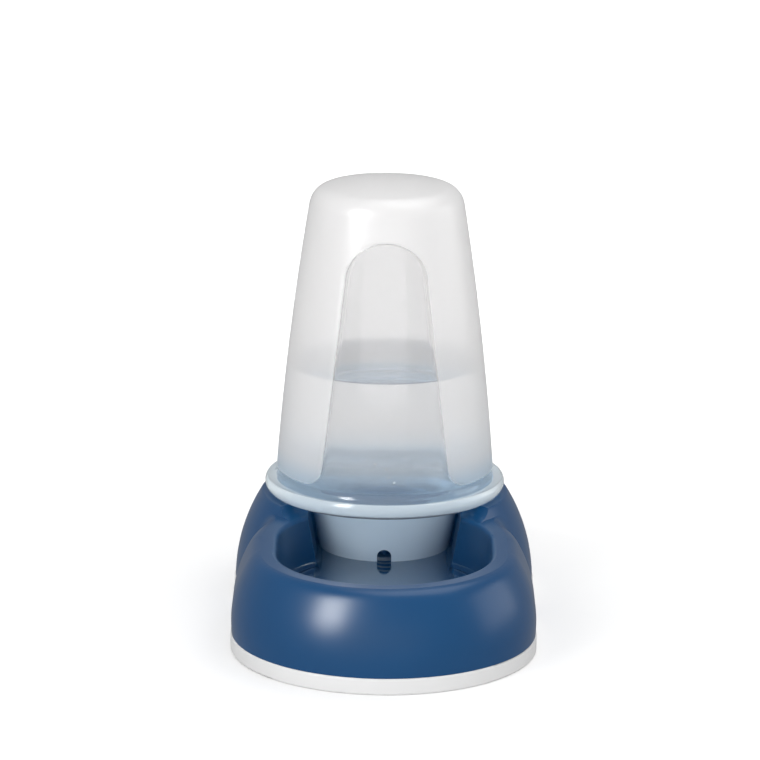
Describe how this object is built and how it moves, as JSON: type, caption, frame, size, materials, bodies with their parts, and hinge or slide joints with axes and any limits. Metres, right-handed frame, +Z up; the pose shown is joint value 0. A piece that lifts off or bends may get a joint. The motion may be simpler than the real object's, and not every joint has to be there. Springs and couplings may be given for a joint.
{
  "type": "pet water dispenser",
  "caption": "Gravity pet water dispenser: a clear upturned tank with a sprung valve in its closure feeds an open bowl in a two-lobed base.",
  "frame": {"origin": "on the floor, under the middle of the object's box", "axes": "+Z up, +Y from the bowl to the tank at the back, +X to the right seen from the bowl"},
  "size_m": [0.177, 0.2874, 0.2481],
  "materials": {
    "blue_plastic": "semi-gloss moulded",
    "white_rubber": "satin, soft",
    "clear_plastic": "clear, slightly smoked",
    "frosted_plastic": "translucent moulded",
    "silicone": "soft, satin",
    "spring_steel": "bright drawn wire"
  },
  "bodies": {
    "base": {"base_shell": "blue_plastic", "nonslip_ring": "white_rubber"},
    "tank": {"tank": "clear_plastic"},
    "closure": {"closure": "frosted_plastic", "closure_gasket": "silicone", "valve_spring": "spring_steel"},
    "valve": {"valve_plate": "blue_plastic", "valve_seal": "silicone", "spring_retainer": "frosted_plastic"}
  },
  "joints": [
    {"name": "tank_lift", "type": "slide", "parent": "base", "child": "tank", "axis": [0, 0, 1], "range_m": [0, 0.09]},
    {"name": "closure_twist", "type": "hinge", "parent": "tank", "child": "closure", "pos_m": [0, 0.05525, 0.0669], "axis": [0, 0, 1], "range_deg": [0, 45]},
    {"name": "valve_shut", "type": "slide", "parent": "closure", "child": "valve", "axis": [0, 0, -1], "range_m": [0, 0.004], "deforming": ["valve_spring"]}
  ],
  "couplings": [
    {"joint": "valve_shut", "follows": "tank_lift", "ratio": 0.044444}
  ]
}
